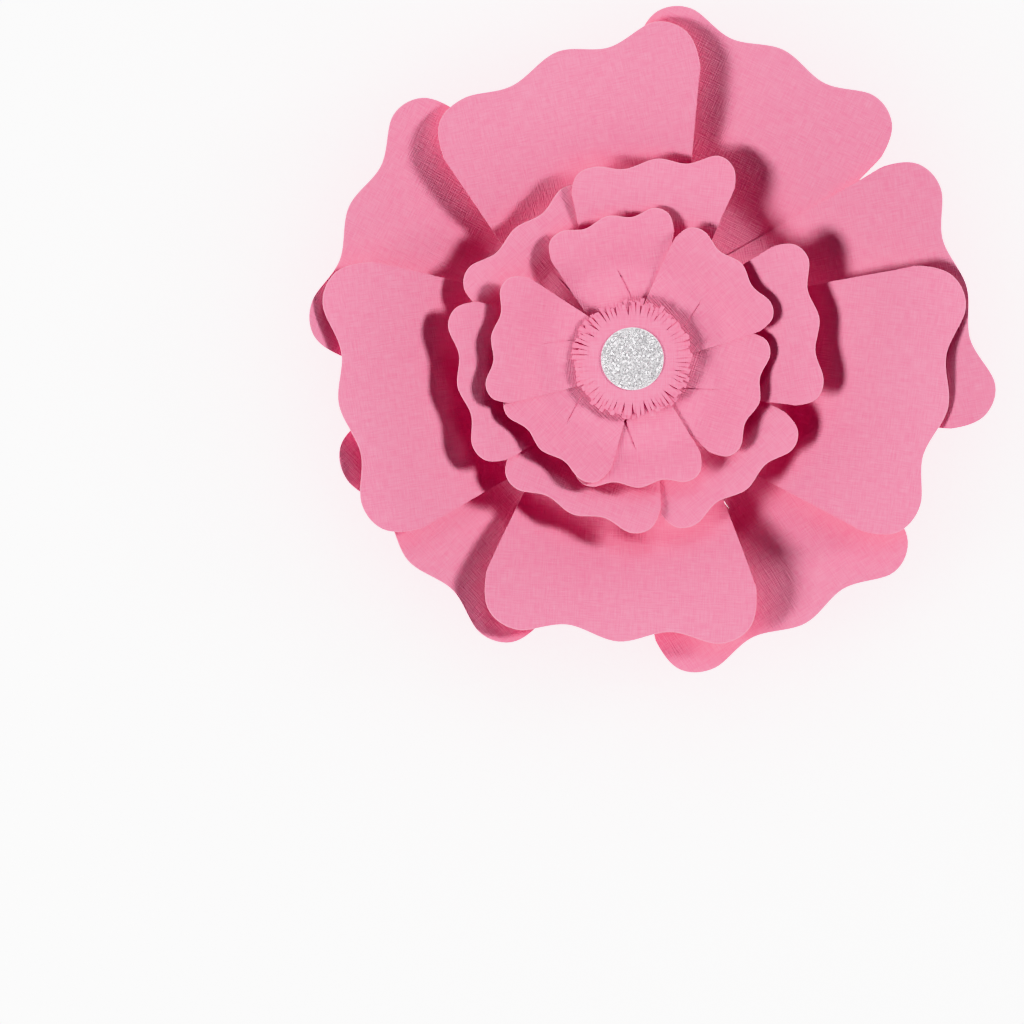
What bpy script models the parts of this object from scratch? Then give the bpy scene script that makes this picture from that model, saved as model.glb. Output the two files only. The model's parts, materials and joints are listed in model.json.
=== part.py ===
"""Giant layered paper flower, about 400 mm across.

It lies on its backing disc with its face up: the disc's flat back is at z = 0 and the flower's axis is Z.
From the back it holds a backing disc, five back petals, four front petals, six middle petals, six inner
petals, a foam pad, two fringed discs and a glitter disc. All sizes are in metres.
"""

import math
from collections import namedtuple

import bmesh
import bpy

FLOWER = "paper_flower"

# The stock, and the glue line left between two sheets that lie on each other.
CARD = 0.00035
GLUE = 0.00035
STEP = CARD + GLUE

# The discs and the pad at the middle.
BACKING_RADIUS = 0.055
BACKING_THICK = 0.0015
PAD_RADIUS = 0.0175
PAD_THICK = 0.004
PAD_CLEAR = 0.0028
GLITTER_RADIUS = 0.0184
GLITTER_THICK = 0.0006

# The fringed discs: a flat middle, a band that turns down, and strips cut from its edge. Their lengths vary
# by FRINGE_RAG from strip to strip, as hand cuts do, and each narrows by STRIP_TAPER towards its tip.
FRINGE_FLAT = 0.019
FRINGE_ROOT = 0.025
FRINGE_REACH = 0.034
FRINGE_DROP = 0.004
FRINGE_RAG = 0.0012
FRINGE_CLEAR = 0.0002
RAG_TURN = 2.4
STRIP_TAPER = 0.22
STRIP_SEGMENTS = 2
LOWER_STRIPS = 64
LOWER_REACH = 0.0352
UPPER_STRIPS = 72
UPPER_REACH = 0.0335

# The die that cuts all the petals, in half widths: the points of its wavy edge, from the side to the middle
# lobe. Each is how far off the axis it lies, how far behind the petal's tip, and its share of the corner's
# own offset.
EDGE_POINTS = (
    (0.92, 0.62, 0.9),
    (1.00, 0.36, 0.9),
    (0.955, 0.12, 1.0),
    (0.74, 0.00, 1.0),
    (0.38, 0.08, 0.5),
)
SPAN_STEPS = 10

# A layer of petals. half_width is the petal's half width, reach the length that its bends are set out for,
# root and root_half the place and half width of its base edge. slit is the radius where its base slit ends
# and its crease lies, slit_turn how far the upper flap turns past the axis, where the flaps lap, and lip the
# length of the slit's open end. incline and climb are its slopes inside and outside the crease, and curl is
# the slope that its edge loses from the radius curl_from on. cup_up and cup_down are how far a side edge
# stands up, or tucks down under its neighbour. rise is from one level of its stack to the next.
Layer = namedtuple(
    "Layer",
    "name half_width reach root root_half slit slit_turn lip incline climb curl_from curl cup_up cup_down"
    " rise columns",
)

BACK = Layer(
    "back", 0.079, 0.190, 0.022, 0.034, 0.106, 0, 0.008, 0.04, 0.62, 0.150, 0.15, 0.003, -0.001, 0.0015, 28)
FRONT = Layer(
    "front", 0.079, 0.178, 0.022, 0.034, 0.100, 0, 0.008, 0.06, 1.05, 0.102, 0.95, 0.004, -0.001, 0.0013, 28)
MIDDLE = Layer(
    "middle", 0.047, 0.106, 0.018, 0.022, 0.069, 0, 0.007, 0.07, 1.00, 0.071, 0.80, 0.002, -0.001, 0.0016, 20)
INNER = Layer(
    "inner", 0.037, 0.080, 0.014, 0.014, 0.055, 16, 0.006, 0.10, 0.85, 0.057, 0.60, 0.001, -0.001, 0.0017, 20)

# A petal: the angle of its axis in degrees, its length from the flower's axis to its middle lobe, how far
# its left and right corners stand out past that, its place in the layer's stack, and whether its left and
# right sides lie over their neighbours. Left is the anticlockwise side.
Petal = namedtuple("Petal", "angle length left right level left_over right_over")

BACK_PETALS = (
    Petal(64, 0.200, -0.002, -0.001, 0, False, False),
    Petal(12, 0.199, -0.003, 0.004, 1, True, True),
    Petal(303, 0.185, 0.003, -0.007, 0, False, False),
    Petal(222, 0.177, -0.003, -0.005, 1, True, False),
    Petal(152, 0.188, -0.007, 0.002, 2, True, True),
)
FRONT_PETALS = (
    Petal(104, 0.184, -0.013, 0.003, 1, True, True),
    Petal(189, 0.174, -0.004, 0.000, 0, True, True),
    Petal(267, 0.166, -0.002, -0.004, 1, True, True),
    Petal(351, 0.186, 0.001, -0.007, 0, True, True),
)
MIDDLE_PETALS = (
    Petal(311, 0.102, 0.000, -0.004, 0, False, False),
    Petal(249, 0.098, -0.002, -0.002, 1, True, False),
    Petal(189, 0.104, -0.003, 0.000, 2, True, True),
    Petal(132, 0.103, 0.001, -0.001, 0, False, False),
    Petal(83, 0.118, -0.009, 0.006, 1, True, False),
    Petal(12, 0.112, 0.001, -0.005, 2, True, True),
)
INNER_PETALS = (
    Petal(341, 0.079, -0.003, -0.002, 0, False, False),
    Petal(273, 0.076, -0.002, -0.002, 1, True, False),
    Petal(225, 0.076, -0.004, 0.000, 2, True, False),
    Petal(171, 0.084, -0.001, -0.001, 3, True, True),
    Petal(100, 0.085, -0.004, 0.000, 0, False, False),
    Petal(41, 0.085, -0.004, -0.002, 1, True, True),
)

# Each layer starts above the stack of the one behind it.
BACK_Z = BACKING_THICK + GLUE + CARD / 2
FRONT_Z = BACK_Z + 3 * BACK.rise
MIDDLE_Z = FRONT_Z + 2 * FRONT.rise
INNER_Z = MIDDLE_Z + 3 * MIDDLE.rise
PAD_Z = INNER_Z + 4 * INNER.rise + PAD_CLEAR
LOWER_FRINGE_Z = PAD_Z + PAD_THICK + GLUE + CARD / 2
UPPER_FRINGE_Z = LOWER_FRINGE_Z + STEP + FRINGE_CLEAR
GLITTER_Z = UPPER_FRINGE_Z + CARD / 2 + GLUE

# How wide the bend is at the crease, and how wide the flap's lift fades out beside the slit.
CREASE = 0.003
FLAP_FADE = 0.014
LIP_GAP = 0.0005

# A petal's grid: the row that its slit ends on, the rows past the slit's lip, and what counts as nothing on
# a grid two units wide.
SLIT_ROW = 2
BEND_ROWS = 5
NEAR = 1e-4

# How round the discs are, and the angle above which an edge is shaded sharp.
BACKING_SIDES = 48
PAD_SIDES = 32
GLITTER_SIDES = 64
SHARP_ANGLE = math.radians(40)


def clear_scene():
    for obj in list(bpy.data.objects):
        bpy.data.objects.remove(obj, do_unlink=True)


def flower_collection():
    collection = bpy.data.collections.new(FLOWER)
    bpy.context.scene.collection.children.link(collection)
    return collection


def material(name, colour, roughness, metallic=0.0):
    made = bpy.data.materials.new(name)
    made.use_nodes = True
    shader = made.node_tree.nodes["Principled BSDF"]
    shader.inputs["Base Color"].default_value = (*colour, 1.0)
    shader.inputs["Roughness"].default_value = roughness
    shader.inputs["Metallic"].default_value = metallic
    return made


def petal_material(layer_name):
    return material(layer_name + "_petal_card", (0.88, 0.26, 0.42), 0.8)


def fringe_material():
    return material("fringe_card", (0.90, 0.30, 0.46), 0.8)


def glitter_material():
    return material("glitter_card", (0.80, 0.80, 0.82), 0.35, 0.6)


def board_material():
    return material("backing_board", (0.80, 0.79, 0.76), 0.9)


def foam_material():
    return material("pad_foam", (0.85, 0.85, 0.84), 0.95)


def add_object(name, bm, finish, collection):
    """Turn the bmesh into a smooth-shaded object with its finish."""
    mesh = bpy.data.meshes.new(name)
    bm.to_mesh(mesh)
    bm.free()
    mesh.shade_smooth()
    mesh.set_sharp_from_angle(angle=SHARP_ANGLE)
    mesh.materials.append(finish)
    obj = bpy.data.objects.new(name, mesh)
    collection.objects.link(obj)
    return obj


def give_thickness(obj, thickness):
    """Thicken an open sheet evenly to both sides of its middle surface."""
    solidify = obj.modifiers.new("thickness", "SOLIDIFY")
    solidify.thickness = thickness
    solidify.offset = 0.0


def smooth(low, high, value):
    share = min(1.0, max(0.0, (value - low) / (high - low)))
    return share * share * (3.0 - 2.0 * share)


def catmull_rom(before, start, end, after, share):
    """The point at this share of the way from start to end on a smooth curve through all four."""
    return tuple(
        0.5 * (2 * p1 + (p2 - p0) * share + (2 * p0 - 5 * p1 + 4 * p2 - p3) * share**2
               + (3 * p1 - p0 - 3 * p2 + p3) * share**3)
        for p0, p1, p2, p3 in zip(before, start, end, after)
    )


def edge_curve(layer, petal):
    """The wavy edge as closely spaced (across, along) points, from the right side to the left."""
    half = layer.half_width
    right = [(-across * half, petal.length - back * half + share * petal.right)
             for across, back, share in EDGE_POINTS]
    left = [(across * half, petal.length - back * half + share * petal.left)
            for across, back, share in reversed(EDGE_POINTS)]
    points = [*right, (0.0, petal.length), *left]
    points = [(-layer.root_half, layer.root), *points, (layer.root_half, layer.root)]
    curve = []
    for four in zip(points, points[1:], points[2:], points[3:]):
        curve += [catmull_rom(*four, step / SPAN_STEPS) for step in range(SPAN_STEPS)]
    return [*curve, points[-2]]


def spaced_edge(layer, petal):
    """The wavy edge as one point for each column of the petal, evenly spaced along it."""
    curve = edge_curve(layer, petal)
    lengths = [0.0]
    for start, end in zip(curve, curve[1:]):
        lengths.append(lengths[-1] + math.dist(start, end))
    edge = []
    place = 0
    for column in range(layer.columns + 1):
        wanted = lengths[-1] * column / layer.columns
        while place < len(curve) - 2 and lengths[place + 1] < wanted:
            place += 1
        share = (wanted - lengths[place]) / (lengths[place + 1] - lengths[place])
        edge.append(tuple(a + (b - a) * share for a, b in zip(curve[place], curve[place + 1])))
    return edge


def row_shares(layer, petal):
    """How far each row lies from the petal's base to its edge, with a row at each end of the slit's lip."""
    reach = petal.length - layer.root
    slit = (layer.slit - layer.root) / reach
    lip = layer.lip / reach
    bent = 1 - slit - lip
    return [0.0, slit - lip, slit, *(slit + lip + bent * row / BEND_ROWS for row in range(BEND_ROWS + 1))]


def petal_height(layer, petal, across, along):
    """How high the petal's surface stands over its base, by its profile and by the cup of its sides."""
    radius = math.hypot(across, along)
    past_crease = radius - layer.slit
    rounding = CREASE * math.log1p(math.exp(-abs(past_crease) / CREASE))
    climb = layer.climb * (max(0.0, past_crease) + rounding)
    past_curl = max(0.0, radius - layer.curl_from)
    curl = layer.curl * past_curl**2 / (2 * (layer.reach - layer.curl_from))
    over = petal.left_over if across > 0 else petal.right_over
    cup = (layer.cup_up if over else layer.cup_down) * (across / layer.half_width) ** 2
    cup *= smooth(layer.slit, layer.reach, radius)
    return layer.incline * (radius - layer.root) + climb - curl + cup


def flap_shift(layer, distance, upper):
    """How far off the axis a flap's slit edge lies, at this distance inside the slit's end."""
    turned = -math.tan(math.radians(layer.slit_turn)) * distance
    if upper:
        return turned
    if distance <= layer.lip:
        return turned - LIP_GAP * distance / layer.lip
    return -LIP_GAP


def slit_grid(columns, rows):
    """A flat grid, slit along its middle column up to SLIT_ROW, and each vertex's column, row and side."""
    bm = bmesh.new()
    bmesh.ops.create_grid(bm, x_segments=columns, y_segments=rows, size=1.0)
    slit_top = 2 * SLIT_ROW / rows - 1
    in_slit = [
        edge for edge in bm.edges
        if all(abs(v.co.x) < NEAR and v.co.y < slit_top + NEAR for v in edge.verts)
    ]
    bmesh.ops.split_edges(bm, edges=in_slit)
    places = []
    for vert in bm.verts:
        column = round((vert.co.x + 1) / 2 * columns)
        row = round((vert.co.y + 1) / 2 * rows)
        on_left = sum(face.calc_center_median().x for face in vert.link_faces) > NEAR
        places.append((vert, column, row, on_left))
    return bm, places


def petal_sheet(layer, petal, base_z):
    """The petal's open middle surface, from its base edge to its wavy edge, with the flaps of its slit."""
    edge = spaced_edge(layer, petal)
    shares = row_shares(layer, petal)
    middle = layer.columns // 2
    bm, places = slit_grid(layer.columns, len(shares) - 1)
    turn = math.radians(petal.angle)
    for vert, column, row, on_left in places:
        share = shares[row]
        base_across = layer.root_half * (column - middle) / middle
        across = base_across + (edge[column][0] - base_across) * share
        along = layer.root + (edge[column][1] - layer.root) * share
        height = base_z + petal.level * layer.rise
        if row < SLIT_ROW:
            distance = layer.slit - layer.root - (petal.length - layer.root) * share
            near_slit = 1 - abs(column - middle) / middle
            across += near_slit * flap_shift(layer, distance, on_left)
            if on_left and layer.slit_turn:
                height += STEP * (1 - smooth(FLAP_FADE / 4, FLAP_FADE, across))
        height += petal_height(layer, petal, across, along)
        x = along * math.cos(turn) - across * math.sin(turn)
        y = along * math.sin(turn) + across * math.cos(turn)
        vert.co = (x, y, height)
    return bm


def add_petals(layer, petals, base_z, collection):
    finish = petal_material(layer.name)
    for number, petal in enumerate(petals, 1):
        bm = petal_sheet(layer, petal, base_z)
        bmesh.ops.recalc_face_normals(bm, faces=bm.faces)
        obj = add_object(f"{layer.name}_petal_{number}", bm, finish, collection)
        give_thickness(obj, CARD)


def fringe_point(radius, angle, base_z):
    """A point of a fringed disc, which turns down more and more outside its flat middle."""
    turned_down = max(0.0, radius - FRINGE_FLAT) / (FRINGE_REACH - FRINGE_FLAT)
    return (radius * math.cos(angle), radius * math.sin(angle), base_z - FRINGE_DROP * turned_down**2)


def new_edge(grown):
    """The edges that an extrusion has made along its far side, and their vertices."""
    ends = [part for part in grown if isinstance(part, bmesh.types.BMVert)]
    edges = [part for part in grown if isinstance(part, bmesh.types.BMEdge)]
    return [edge for edge in edges if all(v in ends for v in edge.verts)], ends


def grow_strip(bm, root, half_angle, length, base_z):
    """One strip of the fringe, grown from its edge on the band."""
    middle = (root.verts[0].co + root.verts[1].co) / 2
    heading = math.atan2(middle.y, middle.x)
    edges = [root]
    for segment in range(1, STRIP_SEGMENTS + 1):
        share = segment / STRIP_SEGMENTS
        edges, ends = new_edge(bmesh.ops.extrude_edge_only(bm, edges=edges)["geom"])
        for vert in ends:
            side = math.copysign(1, middle.x * vert.co.y - middle.y * vert.co.x)
            angle = heading + side * half_angle * (1 - STRIP_TAPER * share)
            vert.co = fringe_point(FRINGE_ROOT + length * share, angle, base_z)


def add_fringe(name, strips, reach, base_z, collection):
    """A disc whose outer part is cut into strips of uneven length, joined at their roots."""
    bm = bmesh.new()
    bmesh.ops.create_circle(bm, cap_ends=True, segments=strips, radius=FRINGE_FLAT)
    for vert in bm.verts:
        vert.co.z = base_z
    roots, rim = new_edge(bmesh.ops.extrude_edge_only(bm, edges=list(bm.edges))["geom"])
    for vert in rim:
        vert.co = fringe_point(FRINGE_ROOT, math.atan2(vert.co.y, vert.co.x), base_z)
    for number, root in enumerate(roots):
        length = reach - FRINGE_ROOT + FRINGE_RAG * math.sin(RAG_TURN * number)
        grow_strip(bm, root, math.pi / strips, length, base_z)
    bmesh.ops.recalc_face_normals(bm, faces=bm.faces)
    obj = add_object(name, bm, fringe_material(), collection)
    give_thickness(obj, CARD)


def add_disc(name, radius, bottom, thickness, segments, finish, collection):
    """A flat round piece, its underside at the height bottom."""
    bm = bmesh.new()
    bmesh.ops.create_cone(
        bm, cap_ends=True, segments=segments, radius1=radius, radius2=radius, depth=thickness)
    bmesh.ops.translate(bm, verts=bm.verts, vec=(0.0, 0.0, bottom + thickness / 2))
    add_object(name, bm, finish, collection)


def main():
    clear_scene()
    flower = flower_collection()
    add_disc("backing_disc", BACKING_RADIUS, 0.0, BACKING_THICK, BACKING_SIDES, board_material(), flower)
    add_petals(BACK, BACK_PETALS, BACK_Z, flower)
    add_petals(FRONT, FRONT_PETALS, FRONT_Z, flower)
    add_petals(MIDDLE, MIDDLE_PETALS, MIDDLE_Z, flower)
    add_petals(INNER, INNER_PETALS, INNER_Z, flower)
    add_disc("centre_pad", PAD_RADIUS, PAD_Z, PAD_THICK, PAD_SIDES, foam_material(), flower)
    add_fringe("fringe_lower", LOWER_STRIPS, LOWER_REACH, LOWER_FRINGE_Z, flower)
    add_fringe("fringe_upper", UPPER_STRIPS, UPPER_REACH, UPPER_FRINGE_Z, flower)
    finish = glitter_material()
    add_disc("glitter_disc", GLITTER_RADIUS, GLITTER_Z, GLITTER_THICK, GLITTER_SIDES, finish, flower)


main()
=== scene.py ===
# %% [markdown]
# # A giant paper flower
# The flower is built from sheets of pink linen card: five back petals, four front petals, six middle petals
# and six inner petals, glued to a round board. Two fringed discs and a disc of glitter card close its middle.
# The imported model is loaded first, because it says where each sheet lies. Each sheet is then made again,
# finely, in the same place, and replaces the coarse solid of the same name.

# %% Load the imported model
import json
import math
import random
from collections import namedtuple

import bmesh
import bpy
import numpy as np
from mathutils import Matrix, Vector

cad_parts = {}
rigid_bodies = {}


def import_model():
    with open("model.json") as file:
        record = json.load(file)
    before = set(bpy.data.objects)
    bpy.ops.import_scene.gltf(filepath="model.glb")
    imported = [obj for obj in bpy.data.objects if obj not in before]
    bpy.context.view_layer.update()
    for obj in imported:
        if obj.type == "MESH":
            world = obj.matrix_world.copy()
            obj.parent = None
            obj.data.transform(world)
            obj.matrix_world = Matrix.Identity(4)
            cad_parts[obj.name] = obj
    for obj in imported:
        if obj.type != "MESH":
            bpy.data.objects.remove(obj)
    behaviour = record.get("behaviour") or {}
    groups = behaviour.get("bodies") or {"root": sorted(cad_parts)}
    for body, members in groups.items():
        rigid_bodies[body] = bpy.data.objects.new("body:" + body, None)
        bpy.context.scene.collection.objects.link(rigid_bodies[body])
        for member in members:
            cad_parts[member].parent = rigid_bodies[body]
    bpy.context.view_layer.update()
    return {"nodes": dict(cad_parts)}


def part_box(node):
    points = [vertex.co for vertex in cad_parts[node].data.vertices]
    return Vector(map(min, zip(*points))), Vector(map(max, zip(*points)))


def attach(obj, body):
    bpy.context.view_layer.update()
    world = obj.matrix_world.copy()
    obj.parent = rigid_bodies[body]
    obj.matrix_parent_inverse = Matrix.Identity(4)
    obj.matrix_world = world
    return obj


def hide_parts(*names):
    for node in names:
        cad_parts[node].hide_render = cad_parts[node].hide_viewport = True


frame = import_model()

# %% [markdown]
# Operators act on whatever is selected, and the loaded solids come selected. So one helper lets go of
# everything before a new piece is started. A second one lets a finished piece ride with the flower and puts
# it in the place of its imported solid.

# %% Two helpers
def let_go():
    for obj in bpy.context.selected_objects:
        obj.select_set(False)
    bpy.context.view_layer.objects.active = None


def stand_in(piece, node):
    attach(piece, "root")
    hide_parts(node)


# %% [markdown]
# Shader maths reads best as plain arithmetic. This small class wraps a socket, so that adding or multiplying
# two values adds the Math node for it, and one method makes every other kind of node.

# %% A small language for node materials
class Value:
    def __init__(self, tree, socket):
        self.tree = tree
        self.socket = socket

    def maths(self, operation, other, swapped=False):
        node = self.tree.nodes.new("ShaderNodeMath")
        node.operation = operation
        first, second = (other, self) if swapped else (self, other)
        for place, value in enumerate((first, second)):
            if isinstance(value, Value):
                self.tree.links.new(value.socket, node.inputs[place])
            else:
                node.inputs[place].default_value = value
        return Value(self.tree, node.outputs[0])

    def __add__(self, other):
        return self.maths("ADD", other)

    def __sub__(self, other):
        return self.maths("SUBTRACT", other)

    def __rsub__(self, other):
        return self.maths("SUBTRACT", other, swapped=True)

    def __mul__(self, other):
        return self.maths("MULTIPLY", other)

    __radd__ = __add__
    __rmul__ = __mul__


class Finish:
    """A new material, and the means to add nodes to it."""

    def __init__(self, name, roughness, specular=0.5, metallic=0.0):
        self.material = bpy.data.materials.new(name)
        self.material.use_nodes = True
        self.tree = self.material.node_tree
        self.shader = self.tree.nodes["Principled BSDF"]
        self.shader.inputs["Roughness"].default_value = roughness
        self.shader.inputs["Specular IOR Level"].default_value = specular
        self.shader.inputs["Metallic"].default_value = metallic

    def node(self, kind, settings=None, output=0, **sockets):
        """Add a node. A socket goes by its name, or by its number after a letter, as in i6."""
        made = self.tree.nodes.new("ShaderNode" + kind)
        for name, value in (settings or {}).items():
            setattr(made, name, value)
        for name, value in sockets.items():
            socket = made.inputs[int(name[1:]) if name[1:].isdigit() else name.replace("_", " ")]
            if isinstance(value, Value):
                self.tree.links.new(value.socket, socket)
            else:
                socket.default_value = value
        return Value(self.tree, made.outputs[output])

    def mix(self, share, first, second):
        """Two colours, mixed by a share from 0 to 1."""
        settings = {"data_type": "RGBA"}
        return self.node("Mix", settings, output=2, Factor=share, i6=first, i7=second)

    def feed(self, socket, value):
        self.tree.links.new(value.socket, self.shader.inputs[socket])

    def bump(self, height, strength, distance):
        self.feed("Normal", self.node("Bump", Height=height, Strength=strength, Distance=distance))


# %% [markdown]
# ## The card
# Linen card is pressed between embossed rollers, so its threads are a relief: short ridges of uneven length
# that run both ways. Each way is a noise stretched along the thread. The same threads also paint the colour,
# darker in their hollows and lighter on their ridges, which is painted shade. A soft cloud varies the pink at
# random. It reads the sheet's own UV map, which is in metres on the flat sheet, so that the threads follow
# every petal's own axis. The cut edge shows the paler core of the card, which the mesh marks with an
# attribute.

# %% The pink linen card
THREAD = 0.0007
THREAD_LENGTH = 0.009
# The darker pink serves both the card's random clouds and the painted shade in the threads' hollows.
CARD_PINK = (0.93, 0.370, 0.520, 1.0)
CARD_DARK_AND_PAINTED_SHADE = (0.88, 0.250, 0.405, 1.0)
CUT_EDGE = (0.96, 0.52, 0.64, 1.0)
CUT_EDGE_SHARE = 0.8
THREAD_RELIEF = 0.00024
CLOUDS_PER_METRE = 9.0
CLOUD_SHARE = 0.6
TONE_OFFSET = 0.8
FRINGE_RELIEF = 0.6


def linen_card(name, relief=1.0):
    card = Finish(name, roughness=0.72, specular=0.30)
    flat = card.node("TexCoord", output=2)

    def threads(across, along):
        placed = card.node("Mapping", Vector=flat, Scale=(1 / across, 1 / along, 1.0))
        return card.node("TexNoise", {"noise_dimensions": "2D"}, Vector=placed, Scale=1.0, Detail=1.0)

    warp = threads(THREAD, THREAD_LENGTH)
    weft = threads(THREAD_LENGTH, THREAD)
    weave = warp + weft
    card.bump(weave, strength=relief, distance=THREAD_RELIEF)
    cloud = card.node("TexNoise", Vector=flat, Scale=CLOUDS_PER_METRE, Detail=2.0)
    # The threads' relief also enters the colour, as painted shade: darker in their hollows, lighter on their
    # ridges. Random clouds of colour are added to it.
    tone_and_painted_shade = cloud * CLOUD_SHARE + weave - TONE_OFFSET
    edge = card.node("Attribute", {"attribute_name": "cut_edge"}, output=2)
    pink = card.mix(tone_and_painted_shade, CARD_DARK_AND_PAINTED_SHADE, CARD_PINK)
    card.feed("Base Color", card.mix(edge * CUT_EDGE_SHARE, pink, CUT_EDGE))
    return card.material


card_finishes = {name: linen_card(name + "_petal_card") for name in ("back", "front", "middle", "inner")}
fringe_finish = linen_card("fringe_card", relief=FRINGE_RELIEF)
print("card finishes:", ", ".join(card_finishes))

# %% [markdown]
# ## One die for all the petals
# Every petal is cut by a die of the same outline, in three sizes: straight sides that spread from the base,
# round corners, and an outer edge of three lobes. Each point below has its distance from the middle line and
# how far it lies behind the tip, both in half widths, so that a size is one number. Its third value is how
# much of a side's own lengthening it takes part in. The curve through the points is a Catmull-Rom spline,
# which passes through every point.

# %% The outline of a petal
EDGE_POINTS = (
    (0.92, 0.62, 0.9),
    (1.00, 0.36, 0.9),
    (0.955, 0.12, 1.0),
    (0.74, 0.00, 1.0),
    (0.38, 0.08, 0.5),
)
SPAN_STEPS = 24
TRIM = 0.0004

Layer = namedtuple(
    "Layer",
    "name half_width reach root root_half slit slit_turn lip incline climb curl_from curl cup_up cup_down"
    " rise columns",
)
Petal = namedtuple("Petal", "angle length left right level left_over right_over")


def catmull_rom(before, start, end, after, share):
    return tuple(
        0.5 * (2 * p1 + (p2 - p0) * share + (2 * p0 - 5 * p1 + 4 * p2 - p3) * share**2
               + (3 * p1 - p0 - 3 * p2 + p3) * share**3)
        for p0, p1, p2, p3 in zip(before, start, end, after)
    )


def edge_curve(layer, petal):
    half = layer.half_width
    right = [
        (-across * half, petal.length - back * half + share * petal.right)
        for across, back, share in EDGE_POINTS
    ]
    left = [
        (across * half, petal.length - back * half + share * petal.left)
        for across, back, share in reversed(EDGE_POINTS)
    ]
    points = [*right, (0.0, petal.length), *left]
    points = [(across, along - TRIM) for across, along in points]
    points = [(-layer.root_half, layer.root), *points, (layer.root_half, layer.root)]
    curve = []
    for four in zip(points, points[1:], points[2:], points[3:]):
        curve += [catmull_rom(*four, step / SPAN_STEPS) for step in range(SPAN_STEPS)]
    return np.array([*curve, points[-2]])


def spaced_edge(layer, petal):
    """The outline from side to side, with one point at equal spaces for each column."""
    curve = edge_curve(layer, petal)
    lengths = np.concatenate([[0.0], np.cumsum(np.hypot(*np.diff(curve, axis=0).T))])
    wanted = np.linspace(0.0, lengths[-1], layer.columns + 1)
    return np.column_stack([np.interp(wanted, lengths, curve[:, axis]) for axis in (0, 1)])


# %% [markdown]
# ## The bends of a petal
# A petal lies nearly flat on the ones behind it up to the end of its base slit. There it is creased, and
# stands up. Towards its edge it curls back, and its sides are cupped. All of that is one height over the
# plan, so neighbours that share it lie neatly on each other. Lengths are in metres and angles in degrees. A
# layer's incline, climb and curl are slopes, and a petal's level is its place in the pile of its layer.

# %% The layers, from the back to the front
CARD = 0.00035
GLUE = 0.00035
SHEET_STEP = CARD + GLUE
BACK = Layer(
    "back", 0.079, 0.190, 0.022, 0.034, 0.106, 0, 0.008, 0.04, 0.62, 0.150, 0.15, 0.003, -0.001, 0.0015, 84)
FRONT = Layer(
    "front", 0.079, 0.178, 0.022, 0.034, 0.100, 0, 0.008, 0.06, 1.05, 0.102, 0.95, 0.004, -0.001, 0.0013, 84)
MIDDLE = Layer(
    "middle", 0.047, 0.106, 0.018, 0.022, 0.069, 0, 0.007, 0.07, 1.00, 0.071, 0.80, 0.002, -0.001, 0.0016, 72)
INNER = Layer(
    "inner", 0.037, 0.080, 0.014, 0.014, 0.055, 16, 0.006, 0.10, 0.85, 0.057, 0.60, 0.001, -0.001, 0.0017, 72)
BACK_PETALS = (
    Petal(64, 0.200, -0.002, -0.001, 0, False, False),
    Petal(12, 0.199, -0.003, 0.004, 1, True, True),
    Petal(303, 0.185, 0.003, -0.007, 0, False, False),
    Petal(222, 0.177, -0.003, -0.005, 1, True, False),
    Petal(152, 0.188, -0.007, 0.002, 2, True, True),
)
FRONT_PETALS = (
    Petal(104, 0.184, -0.013, 0.003, 1, True, True),
    Petal(189, 0.174, -0.004, 0.000, 0, True, True),
    Petal(267, 0.166, -0.002, -0.004, 1, True, True),
    Petal(351, 0.186, 0.001, -0.007, 0, True, True),
)
MIDDLE_PETALS = (
    Petal(311, 0.102, 0.000, -0.004, 0, False, False),
    Petal(249, 0.098, -0.002, -0.002, 1, True, False),
    Petal(189, 0.104, -0.003, 0.000, 2, True, True),
    Petal(132, 0.103, 0.001, -0.001, 0, False, False),
    Petal(83, 0.118, -0.009, 0.006, 1, True, False),
    Petal(12, 0.112, 0.001, -0.005, 2, True, True),
)
INNER_PETALS = (
    Petal(341, 0.079, -0.003, -0.002, 0, False, False),
    Petal(273, 0.076, -0.002, -0.002, 1, True, False),
    Petal(225, 0.076, -0.004, 0.000, 2, True, False),
    Petal(171, 0.084, -0.001, -0.001, 3, True, True),
    Petal(100, 0.085, -0.004, 0.000, 0, False, False),
    Petal(41, 0.085, -0.004, -0.002, 1, True, True),
)


def levels(petals):
    return 1 + max(petal.level for petal in petals)


backing_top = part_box("backing_disc")[1][2]
BACK_Z = backing_top + SHEET_STEP - CARD / 2
FRONT_Z = BACK_Z + levels(BACK_PETALS) * BACK.rise
MIDDLE_Z = FRONT_Z + levels(FRONT_PETALS) * FRONT.rise
INNER_Z = MIDDLE_Z + levels(MIDDLE_PETALS) * MIDDLE.rise
print("layers start at", [round(z * 1000, 2) for z in (BACK_Z, FRONT_Z, MIDDLE_Z, INNER_Z)], "mm")

# %% The height of a petal over its base
CREASE = 0.003
LIP_GAP = 0.0005
FLAP_FADE_START = 0.0035
FLAP_FADE_END = 0.014


def smooth(low, high, value):
    share = np.clip((value - low) / (high - low), 0.0, 1.0)
    return share * share * (3.0 - 2.0 * share)


def petal_height(layer, petal, across, along):
    radius = np.hypot(across, along)
    past_crease = radius - layer.slit
    climb = layer.climb * CREASE * np.logaddexp(0.0, past_crease / CREASE)
    past_curl = np.maximum(0.0, radius - layer.curl_from)
    curl = layer.curl * past_curl**2 / (2 * (layer.reach - layer.curl_from))
    left_cup = layer.cup_up if petal.left_over else layer.cup_down
    right_cup = layer.cup_up if petal.right_over else layer.cup_down
    cup = np.where(across > 0, left_cup, right_cup) * (across / layer.half_width) ** 2
    cup = cup * smooth(layer.slit, layer.reach, radius)
    return layer.incline * (radius - layer.root) + climb - curl + cup


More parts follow.
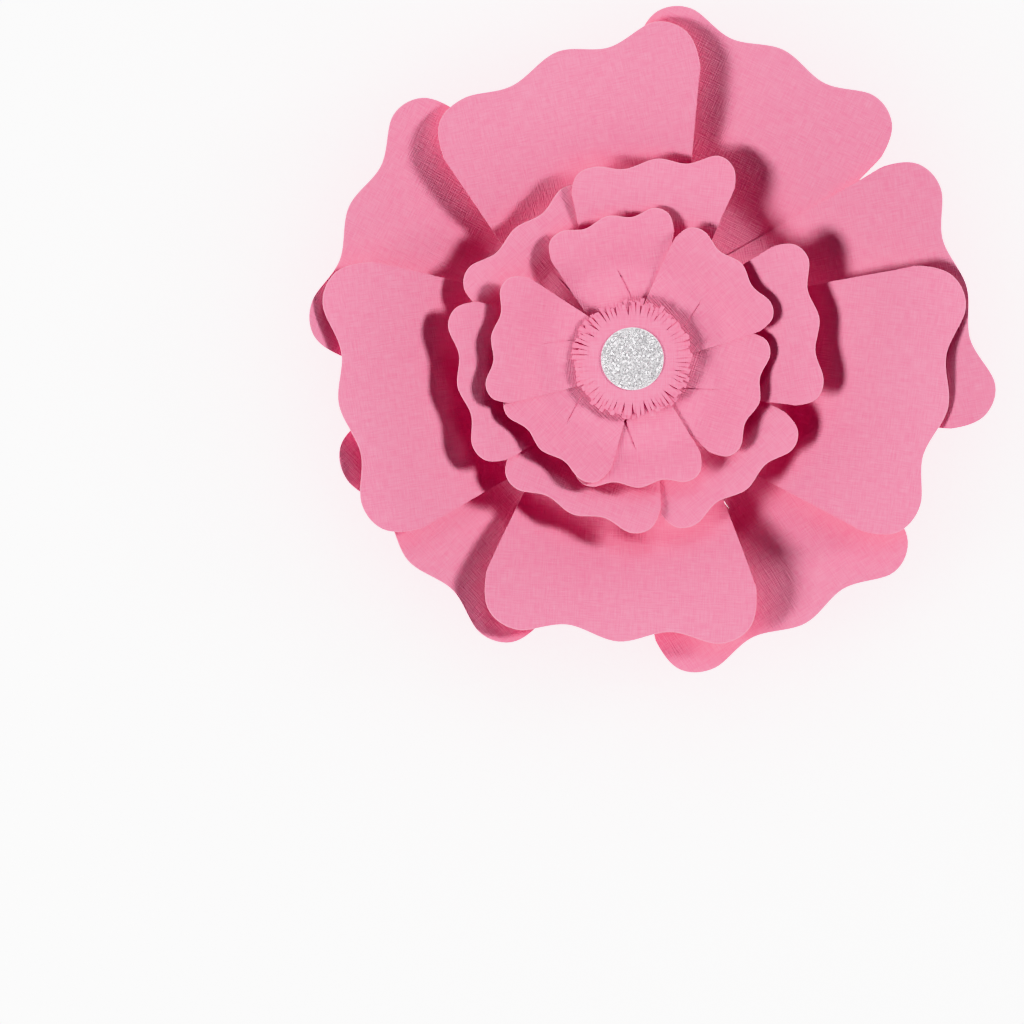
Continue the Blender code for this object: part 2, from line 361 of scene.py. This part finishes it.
def flap_shift(layer, distance, upper):
    """How far a flap moves sideways, by its distance from the end of the slit."""
    turned = -math.tan(math.radians(layer.slit_turn)) * distance
    lower = np.where(distance <= layer.lip, turned - LIP_GAP * distance / layer.lip, -LIP_GAP)
    return np.where(upper, turned, lower)


def flap_lift(layer, distance, across):
    """How far the upper flap of a turned slit is lifted over the lower one."""
    if not layer.slit_turn:
        return 0.0
    fade = 1 - smooth(FLAP_FADE_START, FLAP_FADE_END, across)
    return SHEET_STEP * smooth(0.0, layer.lip, distance) * fade


tip_heights = {
    layer.name: round(1000 * float(petal_height(layer, petals[0], 0.0, layer.reach)), 1)
    for layer, petals in (
        (BACK, BACK_PETALS), (FRONT, FRONT_PETALS), (MIDDLE, MIDDLE_PETALS), (INNER, INNER_PETALS))
}
print("rise of each layer from base to edge in mm:", tip_heights)

# %% [markdown]
# ## Cutting and bending a sheet
# A grid is the right start, because its rows can follow the petal's arcs and its columns run from base to
# edge. The slit is a real cut: the edges up the middle column are split, and the two flaps move apart and,
# on the inner petals, lap. The last row and column lie close to the rim and mark the cut edge.

# %% A flat grid with a slit
FLAT_ROWS = 10
LIP_ROWS = 4
BEND_ROWS = 34
SLIT_ROW = FLAT_ROWS + LIP_ROWS
ROWS = SLIT_ROW + BEND_ROWS
RIM = 0.0006
NEAR = 1e-4


def slit_grid(name, columns):
    let_go()
    bpy.ops.mesh.primitive_grid_add(x_subdivisions=columns, y_subdivisions=ROWS, size=2.0)
    sheet = bpy.context.active_object
    sheet.name = name
    sheet.data.name = name
    bpy.ops.object.mode_set(mode="EDIT")
    bpy.ops.mesh.select_mode(type="EDGE")
    bpy.ops.mesh.select_all(action="DESELECT")
    cage = bmesh.from_edit_mesh(sheet.data)
    slit_top = 2 * SLIT_ROW / ROWS - 1
    for edge in cage.edges:
        edge.select = all(abs(v.co.x) < NEAR and v.co.y < slit_top + NEAR for v in edge.verts)
    bmesh.update_edit_mesh(sheet.data)
    bpy.ops.mesh.edge_split(type="EDGE")
    bpy.ops.object.mode_set(mode="OBJECT")
    return sheet


def row_shares(layer, petal):
    """How far each row lies on the way from the base to the edge, from 0 to 1."""
    reach = petal.length - layer.root
    slit = (layer.slit - layer.root) / reach
    lip = layer.lip / reach
    flat = np.linspace(0.0, slit - lip, FLAT_ROWS, endpoint=False)
    open_lip = np.linspace(slit - lip, slit, LIP_ROWS, endpoint=False)
    bent = np.linspace(slit, 1.0, BEND_ROWS + 1)
    bent[-2] = 1.0 - RIM / reach
    return np.concatenate([flat, open_lip, bent])


def lay_flat(mesh, on_sheet):
    """Write each vertex's place on the flat sheet, in metres, as the UV map."""
    corners = np.empty(len(mesh.loops), dtype=int)
    mesh.loops.foreach_get("vertex_index", corners)
    mesh.uv_layers.active.data.foreach_set("uv", on_sheet[corners].ravel())


# %% Where the vertices lie in the plan
def grid_places(mesh, columns):
    """The column and the row of each vertex of the flat grid, and whether it is on the slit's left flap."""
    flat = np.empty(len(mesh.vertices) * 3)
    mesh.vertices.foreach_get("co", flat)
    flat = flat.reshape(-1, 3)
    column = np.rint((flat[:, 0] + 1) / 2 * columns).astype(int)
    row = np.rint((flat[:, 1] + 1) / 2 * ROWS).astype(int)
    on_left = flat[:, 0] > NEAR
    for face in mesh.polygons:
        if face.center.x > NEAR:
            on_left[list(face.vertices)] = True
    return column, row, on_left


def on_column(layer, edge, column, share):
    """The place in the plan at a share of the way along a column."""
    middle = layer.columns / 2
    base_across = layer.root_half * (column - middle) / middle
    across = base_across + (edge[column, 0] - base_across) * share
    along = layer.root + (edge[column, 1] - layer.root) * share
    return across, along


def plan_places(layer, edge, column, share):
    """The places of all vertices. The first column in from each side is pulled out to the rim."""
    across, along = on_column(layer, edge, column, share)
    first_in = (column == 1) | (column == layer.columns - 1)
    side = np.where(column == 1, 0, layer.columns)
    side_across, side_along = on_column(layer, edge, side, share)
    apart = np.maximum(np.hypot(across - side_across, along - side_along), NEAR * RIM)
    pull = np.minimum(1.0, RIM / apart)
    across = np.where(first_in, side_across + (across - side_across) * pull, across)
    along = np.where(first_in, side_along + (along - side_along) * pull, along)
    return across, along


# %% Bend the sheet into a petal
def bend_petal(sheet, layer, petal, base_z):
    mesh = sheet.data
    column, row, on_left = grid_places(mesh, layer.columns)
    share = row_shares(layer, petal)[row]
    across, along = plan_places(layer, spaced_edge(layer, petal), column, share)
    distance = layer.slit - layer.root - (petal.length - layer.root) * share
    in_slit = row < SLIT_ROW
    middle = layer.columns / 2
    near_slit = 1 - np.abs(column - middle) / middle
    across = across + np.where(in_slit, near_slit * flap_shift(layer, distance, on_left), 0.0)
    height = base_z + petal.level * layer.rise + petal_height(layer, petal, across, along)
    height = height + np.where(in_slit & on_left, flap_lift(layer, distance, across), 0.0)
    turn = math.radians(petal.angle)
    place = np.column_stack([
        along * math.cos(turn) - across * math.sin(turn),
        along * math.sin(turn) + across * math.cos(turn),
        height,
    ])
    mesh.vertices.foreach_set("co", place.ravel())
    rim = (column == 0) | (column == layer.columns) | (row == ROWS) | (row == 0)
    mesh.attributes.new("cut_edge", "FLOAT", "POINT").data.foreach_set("value", rim.astype(float))
    lay_flat(mesh, np.column_stack([across, along]))
    mesh.update()


# %% Give the sheet its thickness and make all the petals
SHARP_ANGLE = math.radians(40)


def thicken(sheet, thickness):
    let_go()
    sheet.select_set(True)
    bpy.context.view_layer.objects.active = sheet
    solidify = sheet.modifiers.new("thickness", "SOLIDIFY")
    solidify.thickness = thickness
    solidify.offset = 0.0
    bpy.ops.object.modifier_apply(modifier=solidify.name)
    bpy.ops.object.shade_smooth_by_angle(angle=SHARP_ANGLE)


def make_petals(layer, petals, base_z):
    for number, petal in enumerate(petals, 1):
        node = f"{layer.name}_petal_{number}"
        sheet = slit_grid("card_" + node, layer.columns)
        bend_petal(sheet, layer, petal, base_z)
        thicken(sheet, CARD)
        sheet.data.materials.clear()
        sheet.data.materials.append(card_finishes[layer.name])
        stand_in(sheet, node)
    print(layer.name, "petals:", len(petals), "of", len(sheet.data.polygons), "faces each")


make_petals(BACK, BACK_PETALS, BACK_Z)
make_petals(FRONT, FRONT_PETALS, FRONT_Z)
make_petals(MIDDLE, MIDDLE_PETALS, MIDDLE_Z)
make_petals(INNER, INNER_PETALS, INNER_Z)

# %% [markdown]
# ## The fringed discs
# A round of card is snipped all round towards its middle, and the strips are curled down over a scissor
# blade, so they are uneven in width, length and curl. The disc starts as a circle, its rim is extruded into
# a smooth band, and each edge of the rim is then extruded on its own into one strip.

# %% The flat of the disc and the smooth band round it
FRINGE_FLAT = 0.019
FRINGE_ROOT = 0.025
FRINGE_REACH = 0.034
FRINGE_DROP = 0.004
BAND_RINGS = 4


def on_ring(radius, angle, height):
    return Vector((radius * math.cos(angle), radius * math.sin(angle), height))


def fringe_drop(radius):
    """How far the curl has turned down below the flat of the disc."""
    turned_down = max(0.0, radius - FRINGE_FLAT) / (FRINGE_REACH - FRINGE_FLAT)
    return FRINGE_DROP * turned_down**2


def extrude_edges(cage, edges):
    """Extrude edges on the spot, and return the new vertices and the new edges between them."""
    grown = bmesh.ops.extrude_edge_only(cage, edges=edges)["geom"]
    ends = [part for part in grown if isinstance(part, bmesh.types.BMVert)]
    found = set(ends)
    outer = [part for part in grown if isinstance(part, bmesh.types.BMEdge) and found.issuperset(part.verts)]
    return ends, outer


def grow_band(cage):
    """Extrude the rim of the disc out to where the strips start, and return the new rim."""
    rim = list(cage.edges)
    for ring in range(1, BAND_RINGS + 1):
        radius = FRINGE_FLAT + (FRINGE_ROOT - FRINGE_FLAT) * ring / BAND_RINGS
        ends, rim = extrude_edges(cage, rim)
        for vert in ends:
            vert.co = on_ring(radius, math.atan2(vert.co.y, vert.co.x), -fringe_drop(radius))
    return rim


# %% Snip and curl a fringed disc
STRIP_SEGMENTS = 6
LENGTH_CHANGES = (-0.0022, 0.0004)
DROOPS = (-0.0009, 0.0008)
SKEWS = (-0.0007, 0.0007)
TAPERS = (0.16, 0.46)
SLANT_OF_SKEW = 0.6
LEAN_OF_SKEW = 1.6

Strip = namedtuple("Strip", "bearing half_angle length droop skew taper")
FringedDisc = namedtuple("FringedDisc", "node strips reach seed")
FRINGED_DISCS = (
    FringedDisc("fringe_lower", strips=64, reach=0.0356, seed=3),
    FringedDisc("fringe_upper", strips=72, reach=0.0340, seed=8),
)


def grow_strip(cage, root, strip):
    """Extrude one edge of the rim into a strip. Its skew slants its end and leans it to one side."""
    outer = [root]
    for segment in range(1, STRIP_SEGMENTS + 1):
        share = segment / STRIP_SEGMENTS
        ends, outer = extrude_edges(cage, outer)
        for vert in ends:
            bearing = math.atan2(vert.co.y, vert.co.x) - strip.bearing
            side = 1 if math.sin(bearing) > 0 else -1
            radius = FRINGE_ROOT + strip.length * share + side * strip.skew * share * SLANT_OF_SKEW
            lean = LEAN_OF_SKEW * strip.skew / radius * share
            angle = strip.bearing + side * strip.half_angle * (1 - strip.taper * share) + lean
            vert.co = on_ring(radius, angle, -fringe_drop(radius) - strip.droop * share * share)


def fringed_disc(name, plan, height):
    let_go()
    bpy.ops.mesh.primitive_circle_add(vertices=plan.strips, radius=FRINGE_FLAT, fill_type="NGON")
    disc = bpy.context.active_object
    disc.name = name
    disc.data.name = name
    chance = random.Random(plan.seed)
    cage = bmesh.new()
    cage.from_mesh(disc.data)
    for root in grow_band(cage):
        middle = (root.verts[0].co + root.verts[1].co) / 2
        grow_strip(cage, root, Strip(
            bearing=math.atan2(middle.y, middle.x),
            half_angle=math.pi / plan.strips,
            length=plan.reach - FRINGE_ROOT + chance.uniform(*LENGTH_CHANGES),
            droop=chance.uniform(*DROOPS),
            skew=chance.uniform(*SKEWS),
            taper=chance.uniform(*TAPERS),
        ))
    bmesh.ops.recalc_face_normals(cage, faces=cage.faces)
    bmesh.ops.translate(cage, verts=cage.verts, vec=(0.0, 0.0, height))
    cage.to_mesh(disc.data)
    cage.free()
    lay_flat(disc.data, np.array([vert.co[:2] for vert in disc.data.vertices]))
    thicken(disc, CARD)
    return disc


fringe_heights = {}
for plan in FRINGED_DISCS:
    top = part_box(plan.node)[1][2]
    disc = fringed_disc("snipped_" + plan.node, plan, top - CARD / 2)
    disc.data.materials.append(fringe_finish)
    stand_in(disc, plan.node)
    fringe_heights[plan.node] = round(top * 1000, 2)
print("tops of the fringed discs in mm:", fringe_heights)

# %% [markdown]
# ## The glitter disc
# Glitter card is board covered in tiny mirror flakes that lie at all angles, which is why it sparkles in
# specks of white and grey. The flakes are real here: one thin hexagon, copied over the disc on a sunflower
# spiral, each with its own tilt. Each silver flake is also painted white or grey at random, and the board
# under them is painted in grey and silver specks: both are painted glints.

# %% The finishes of the board and the flakes
GLINT_SPECKS_PER_METRE = 1600.0
BOARD_GREY = (0.62, 0.61, 0.63, 1.0)
BOARD_SILVER = (0.86, 0.85, 0.87, 1.0)
FLAKE_GREY = (0.50, 0.48, 0.50, 1.0)
FLAKE_WHITE = (1.0, 0.99, 1.0, 1.0)

board = Finish("glitter_board", roughness=0.5)
# Painted glints: the board's grey and silver specks stand in for the sparkle of the flakes.
painted_glint_specks = board.node("TexVoronoi", Vector=board.node("TexCoord", output=3), Scale=GLINT_SPECKS_PER_METRE)
board.feed("Base Color", board.mix(painted_glint_specks, BOARD_GREY, BOARD_SILVER))
flake_finish = Finish("glitter_flakes", roughness=0.30, specular=0.6, metallic=0.25)
# Painted glints: each silver flake is painted white or grey by a random value.
painted_glint = flake_finish.node("Attribute", {"attribute_name": "painted_glint"}, output=2)
flake_finish.feed("Base Color", flake_finish.mix(painted_glint, FLAKE_GREY, FLAKE_WHITE))
print("glitter finishes:", board.material.name, flake_finish.material.name)

# %% Scatter the flakes
FLAKES = 1900
FLAKE_RADIUS = 0.00056
FLAKE_HALF_THICKNESS = 0.00004
FLAKE_SIDES = 6
FLAKE_SIZES = (0.7, 1.0)
FLAKE_TILT = 0.28
FLAKE_DEPTH = 0.00016
GLITTER_SEED = 21
GOLDEN_ANGLE = math.pi * (3 - math.sqrt(5))

glitter_low, glitter_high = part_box("glitter_disc")
glitter_radius = (glitter_high[0] - glitter_low[0]) / 2


def flake_corners(number, chance):
    """The corners of one flake, the lower hexagon first."""
    spread = math.sqrt((number + 0.5) / FLAKES)
    centre = on_ring(
        spread * (glitter_radius - FLAKE_RADIUS), number * GOLDEN_ANGLE, glitter_high[2] - FLAKE_DEPTH)
    tilt_x = Matrix.Rotation(chance.gauss(0, FLAKE_TILT), 3, "X")
    tilt_y = Matrix.Rotation(chance.gauss(0, FLAKE_TILT), 3, "Y")
    tilt = tilt_x @ tilt_y
    size = FLAKE_RADIUS * chance.uniform(*FLAKE_SIZES)
    return [
        centre + tilt @ on_ring(size, corner * 2 * math.pi / FLAKE_SIDES, level)
        for level in (-FLAKE_HALF_THICKNESS, FLAKE_HALF_THICKNESS)
        for corner in range(FLAKE_SIDES)
    ]


def glitter_flakes(chance):
    corners, faces, painted_glints = [], [], []
    for number in range(FLAKES):
        low = range(len(corners), len(corners) + FLAKE_SIDES)
        high = range(low.stop, low.stop + FLAKE_SIDES)
        corners += flake_corners(number, chance)
        # A random value for each flake, which paints it white or grey as a painted glint.
        painted_glints += [chance.random()] * (2 * FLAKE_SIDES)
        faces += [low[::-1], high]
        for corner in range(FLAKE_SIDES):
            following = (corner + 1) % FLAKE_SIDES
            faces.append((low[corner], low[following], high[following], high[corner]))
    return corners, faces, painted_glints


flake_mesh = bpy.data.meshes.new("glitter_flakes")
corners, faces, painted_glints = glitter_flakes(random.Random(GLITTER_SEED))
flake_mesh.from_pydata(corners, [], faces)
flake_mesh.attributes.new("painted_glint", "FLOAT", "POINT").data.foreach_set("value", painted_glints)
flake_mesh.materials.append(flake_finish.material)
flake_object = bpy.data.objects.new("glitter_flakes", flake_mesh)
bpy.context.scene.collection.objects.link(flake_object)
print("glitter flakes:", FLAKES)

# %% The board under the flakes
BOARD_SIDES = 96
BOARD_SINK = 0.0002

let_go()
bpy.ops.mesh.primitive_cylinder_add(
    vertices=BOARD_SIDES, radius=glitter_radius, depth=glitter_high[2] - glitter_low[2] - BOARD_SINK,
    location=(0.0, 0.0, (glitter_low[2] + glitter_high[2] - BOARD_SINK) / 2))
glitter = bpy.context.active_object
glitter.name = "glitter_round"
bpy.ops.object.transform_apply(location=True, rotation=True, scale=True)
bpy.ops.object.shade_smooth_by_angle(angle=SHARP_ANGLE)
glitter.data.materials.append(board.material)
for piece in (glitter, flake_object):
    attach(piece, "root")
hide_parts("glitter_disc")
print("glitter disc:", round(2000 * glitter_radius, 1), "mm across")

# %% [markdown]
# ## The hidden board and pad
# The backing board and the foam pad already have the right shape, so they keep their solids and only get a
# finish: grey board with paper fibres, and foam with fine pores.

# %% Board and foam
FIBRES_PER_METRE = 420.0
PORES_PER_METRE = 900.0
BOARD_DARK = (0.70, 0.68, 0.64, 1.0)
BOARD_PALE = (0.86, 0.85, 0.82, 1.0)
FOAM_DARK = (0.72, 0.72, 0.71, 1.0)
FOAM_PALE = (0.90, 0.90, 0.89, 1.0)

backing = Finish("grey_board", roughness=0.9)
grain = backing.node("TexCoord", output=3)
fibres = backing.node("TexNoise", Vector=grain, Scale=FIBRES_PER_METRE, Detail=4.0)
backing.feed("Base Color", backing.mix(fibres, BOARD_DARK, BOARD_PALE))
backing.bump(fibres, strength=0.3, distance=0.0001)
foam = Finish("pad_foam", roughness=0.95)
pores = foam.node("TexVoronoi", Vector=foam.node("TexCoord", output=3), Scale=PORES_PER_METRE)
foam.feed("Base Color", foam.mix(pores, FOAM_DARK, FOAM_PALE))
foam.bump(pores, strength=0.6, distance=0.0003)
for node, finish in (("backing_disc", backing), ("centre_pad", foam)):
    solid = frame["nodes"][node]
    solid.data.materials.clear()
    solid.data.materials.append(finish.material)
    print(node, "has the finish", finish.material.name)

# %% [markdown]
# ## Floor, lights and camera
# The flower lies on a plain white light table and is seen from straight above. Two big soft lights, low on
# the right and the left, make the shadows that tell how far each layer stands off, and a weak one fills them.
# The neutral view transform is the one for products: it keeps the card's pink true where it is brightest.
# The camera is far up, as with a long lens, and its field is measured at the height of the petals' tops.

# %% White table
TABLE_SIDE = 6.0
TABLE_GAP = 0.0002
TABLE_GREY = (0.50, 0.50, 0.50, 1.0)
TABLE_GLOW = 1.5
WHITE = (1.0, 1.0, 1.0, 1.0)

let_go()
bpy.ops.mesh.primitive_plane_add(size=TABLE_SIDE, location=(0.0, 0.0, -TABLE_GAP))
table = bpy.context.active_object
table.name = "table"
bpy.ops.object.transform_apply(location=True, rotation=True, scale=True)
white = Finish("white_table", roughness=0.9, specular=0.1)
white.shader.inputs["Base Color"].default_value = TABLE_GREY
white.shader.inputs["Emission Color"].default_value = WHITE
white.shader.inputs["Emission Strength"].default_value = TABLE_GLOW
table.data.materials.append(white.material)
print("table:", TABLE_SIDE, "m wide")

# %% Soft lights
LIGHT_DISTANCE = 1.8
WORLD_GLOW = 0.04


def soft_light(name, heading, height, side, power):
    """A square lamp that faces the flower, from a heading and a height in degrees."""
    lamp = bpy.data.lights.new(name, "AREA")
    lamp.size = side
    lamp.energy = power
    light = bpy.data.objects.new(name, lamp)
    turn = math.radians(heading)
    up = math.radians(height)
    place = on_ring(math.cos(up), turn, math.sin(up)) * LIGHT_DISTANCE
    light.location = place
    light.rotation_euler = (-place).to_track_quat("-Z", "Y").to_euler()
    bpy.context.scene.collection.objects.link(light)


soft_light("light_right", heading=14, height=29, side=0.40, power=33)
soft_light("light_left", heading=200, height=31, side=0.60, power=38)
soft_light("light_top", heading=85, height=42, side=0.60, power=5)
world = bpy.data.worlds.new("studio")
world.use_nodes = True
background = world.node_tree.nodes["Background"]
background.inputs["Color"].default_value = WHITE
background.inputs["Strength"].default_value = WORLD_GLOW
bpy.context.scene.world = world
bpy.context.scene.view_settings.view_transform = "Khronos PBR Neutral"
print("lights:", ", ".join(obj.name for obj in bpy.context.scene.objects if obj.type == "LIGHT"))

# %% Camera
FIELD = 0.597
PETAL_TOPS = 0.055
CAMERA_X = -0.0705
CAMERA_Y = -0.0898
CAMERA_HEIGHT = 5.0

camera_data = bpy.data.cameras.new("camera")
camera_data.lens = camera_data.sensor_width * (CAMERA_HEIGHT - PETAL_TOPS) / FIELD
camera = bpy.data.objects.new("camera", camera_data)
camera.location = (CAMERA_X, CAMERA_Y, CAMERA_HEIGHT)
bpy.context.scene.collection.objects.link(camera)
bpy.context.scene.camera = camera
print("camera:", FIELD, "m across the frame at the petals' tops")
